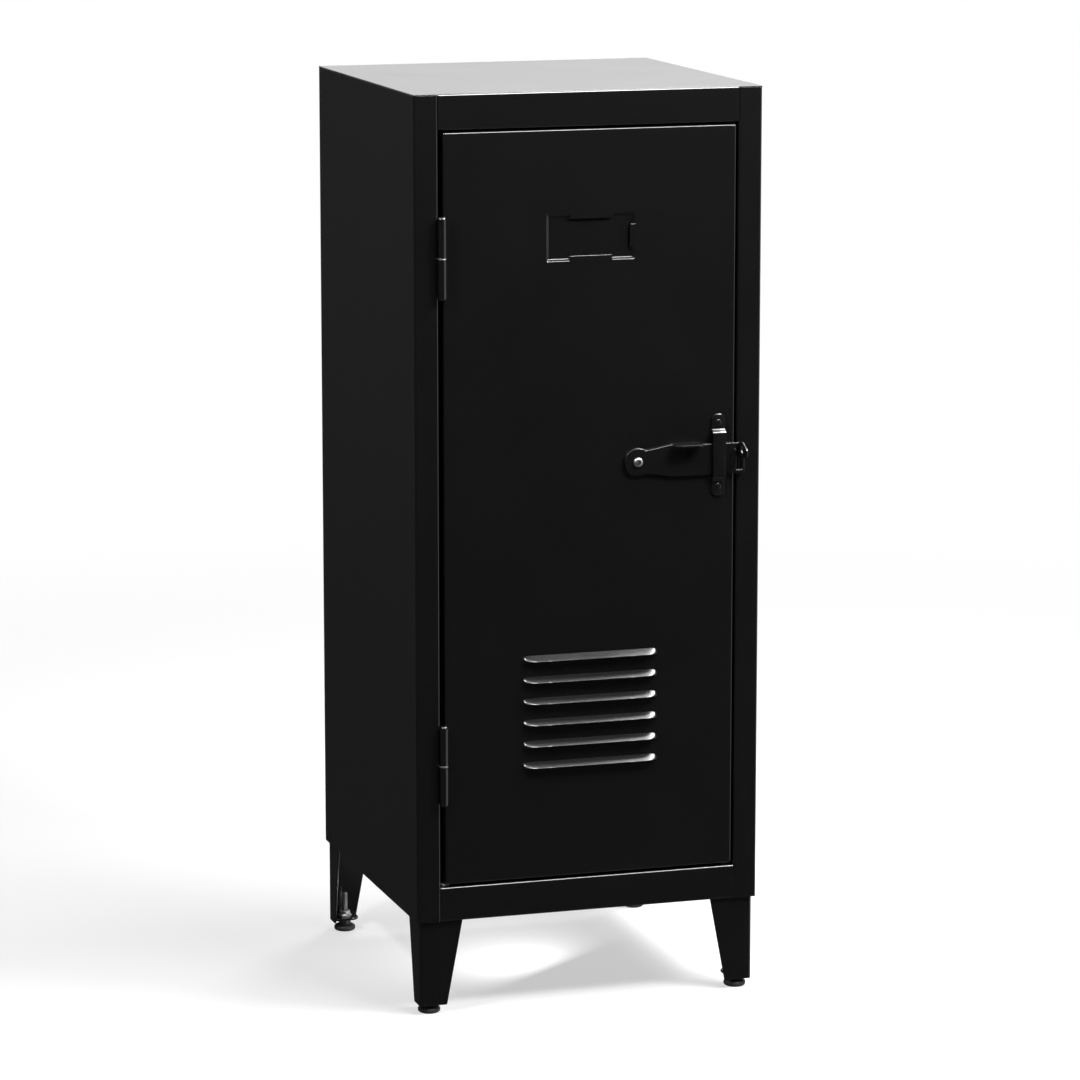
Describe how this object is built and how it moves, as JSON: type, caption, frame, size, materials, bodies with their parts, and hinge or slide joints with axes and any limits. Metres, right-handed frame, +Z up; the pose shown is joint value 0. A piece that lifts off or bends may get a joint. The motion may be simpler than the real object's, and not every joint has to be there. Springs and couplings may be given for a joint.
{
  "type": "metal locker",
  "caption": "Narrow black metal locker with a louvred door on barrel hinges, a lift latch with padlock eye, inner shelves and tapered legs on levelling feet.",
  "frame": {"origin": "on the floor below the middle of the overall box, latch catch included", "axes": "+X to the right seen from the front, +Y from the door to the back, +Z up"},
  "size_m": [0.35, 0.3754, 0.9],
  "materials": {
    "black_coat": "satin black powder coat",
    "bright_zinc": "bright zinc plate",
    "glide_plastic": "dark moulded nylon",
    "buffer_rubber": "matt black rubber"
  },
  "bodies": {
    "cabinet": {"left_side_panel": "black_coat", "right_side_panel": "black_coat", "top_panel": "black_coat", "bottom_panel": "black_coat", "back_panel": "black_coat", "lower_shelf": "black_coat", "lower_shelf_rail_left": "black_coat", "lower_shelf_rail_right": "black_coat", "upper_shelf": "black_coat", "upper_shelf_rail_left": "black_coat", "upper_shelf_rail_right": "black_coat", "front_left_leg": "black_coat", "front_right_leg": "black_coat", "back_right_leg": "black_coat", "back_left_leg": "black_coat", "lower_hinge_frame_leaf": "black_coat", "upper_hinge_frame_leaf": "black_coat", "latch_catch": "black_coat", "foot_nuts": "bright_zinc", "leg_bolts": "bright_zinc", "leg_bolt_nuts": "bright_zinc", "lower_hinge_pin": "bright_zinc", "upper_hinge_pin": "bright_zinc", "hinge_washers": "bright_zinc", "door_buffers": "buffer_rubber"},
    "door": {"door_skin": "black_coat", "lower_hinge_door_leaf": "black_coat", "upper_hinge_door_leaf": "black_coat", "latch_pivot_screw": "bright_zinc", "latch_pivot_washer": "bright_zinc", "latch_pivot_nut": "bright_zinc", "latch_keeper": "black_coat", "keeper_rivets": "black_coat"},
    "latch": {"latch_arm": "black_coat"},
    "front_left_foot": {"front_left_foot_glide": "glide_plastic", "front_left_foot_stud": "bright_zinc"},
    "front_right_foot": {"front_right_foot_glide": "glide_plastic", "front_right_foot_stud": "bright_zinc"},
    "back_right_foot": {"back_right_foot_glide": "glide_plastic", "back_right_foot_stud": "bright_zinc"},
    "back_left_foot": {"back_left_foot_glide": "glide_plastic", "back_left_foot_stud": "bright_zinc"}
  },
  "joints": [
    {"name": "door_hinge", "type": "hinge", "parent": "cabinet", "child": "door", "pos_m": [-0.1485, -0.16625, 0.49725], "axis": [0, 0, -1], "range_deg": [0, 180]},
    {"name": "latch_lift", "type": "hinge", "parent": "door", "child": "latch", "pos_m": [0.0485, -0.16465, 0.5388], "axis": [0, -1, 0], "range_deg": [0, 5.5]},
    {"name": "front_left_foot_level", "type": "slide", "parent": "cabinet", "child": "front_left_foot", "axis": [0, 0, -1], "range_m": [0, 0.012]},
    {"name": "front_right_foot_level", "type": "slide", "parent": "cabinet", "child": "front_right_foot", "axis": [0, 0, -1], "range_m": [0, 0.012]},
    {"name": "back_right_foot_level", "type": "slide", "parent": "cabinet", "child": "back_right_foot", "axis": [0, 0, -1], "range_m": [0, 0.012]},
    {"name": "back_left_foot_level", "type": "slide", "parent": "cabinet", "child": "back_left_foot", "axis": [0, 0, -1], "range_m": [0, 0.012]}
  ]
}
